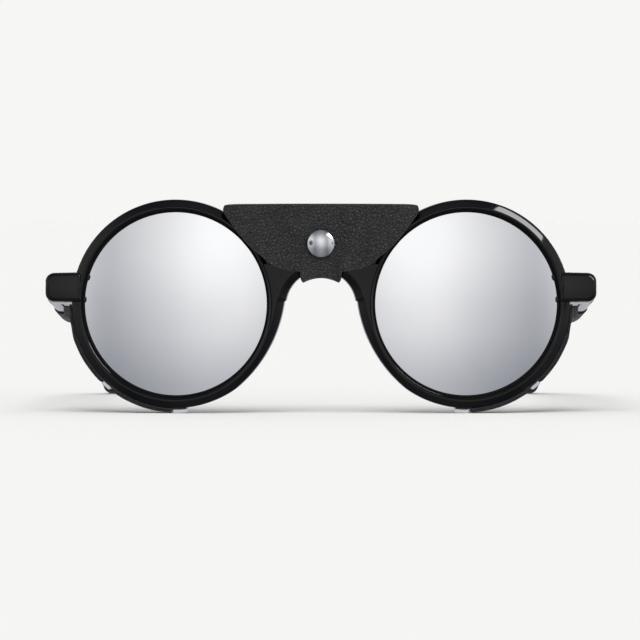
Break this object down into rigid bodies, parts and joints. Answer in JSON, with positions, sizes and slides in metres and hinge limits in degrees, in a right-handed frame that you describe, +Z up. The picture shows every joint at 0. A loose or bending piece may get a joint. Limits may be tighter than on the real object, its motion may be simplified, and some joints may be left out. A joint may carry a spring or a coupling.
{
  "type": "glacier glasses",
  "caption": "Round mirrored glacier glasses with a leather nose flap on a press stud, leather side shields on spring-metal stays, and folding temples.",
  "frame": {"origin": "on the table under the middle of the glasses, half-way along their length", "axes": "+X to the left of the wearer, +Y back along the temples (the wearer faces -Y), +Z up"},
  "size_m": [0.142, 0.14, 0.055],
  "materials": {
    "frame_black": "polished black moulding",
    "temple_black": "polished black moulding",
    "lens_mirror": "silver mirror coat on a curved lens",
    "nose_leather": "fine pebble grain, satin",
    "shield_leather": "fine pebble grain, satin",
    "snap_nickel": "polished nickel",
    "hinge_metal": "satin nickel silver",
    "screw_steel": "turned steel",
    "spring_steel": "rolled spring steel",
    "core_steel": "drawn wire"
  },
  "bodies": {
    "front": {"front_frame": "frame_black", "lens_left": "lens_mirror", "lens_right": "lens_mirror", "nose_strap": "nose_leather", "snap_stud": "snap_nickel", "snap_eyelet": "snap_nickel", "hinge_front_leaf_left": "hinge_metal", "hinge_screw_left": "screw_steel", "front_leaf_screws_left": "screw_steel", "shield_left": "shield_leather", "shield_stay_left": "spring_steel", "shield_rivets_left": "screw_steel", "hinge_front_leaf_right": "hinge_metal", "hinge_screw_right": "screw_steel", "front_leaf_screws_right": "screw_steel", "shield_right": "shield_leather", "shield_stay_right": "spring_steel", "shield_rivets_right": "screw_steel"},
    "temple_left": {"temple_left": "temple_black", "temple_core_left": "core_steel", "hinge_temple_leaf_left": "hinge_metal", "temple_leaf_screws_left": "screw_steel"},
    "temple_right": {"temple_right": "temple_black", "temple_core_right": "core_steel", "hinge_temple_leaf_right": "hinge_metal", "temple_leaf_screws_right": "screw_steel"},
    "flap": {"nose_flap": "nose_leather", "snap_cap": "snap_nickel", "snap_socket": "snap_nickel", "snap_spring": "spring_steel"}
  },
  "joints": [
    {"name": "temple_left_fold", "type": "hinge", "parent": "front", "child": "temple_left", "pos_m": [0.0652, -0.04949, 0.03155], "axis": [0, 0.0872, 0.9962], "range_deg": [0, 84]},
    {"name": "temple_right_fold", "type": "hinge", "parent": "front", "child": "temple_right", "pos_m": [-0.0652, -0.04949, 0.03155], "axis": [0, -0.0872, -0.9962], "range_deg": [0, 65]},
    {"name": "nose_flap_open", "type": "hinge", "parent": "front", "child": "flap", "pos_m": [0, -0.06834, 0.0366], "axis": [1, 0, 0], "range_deg": [0, 115]}
  ]
}
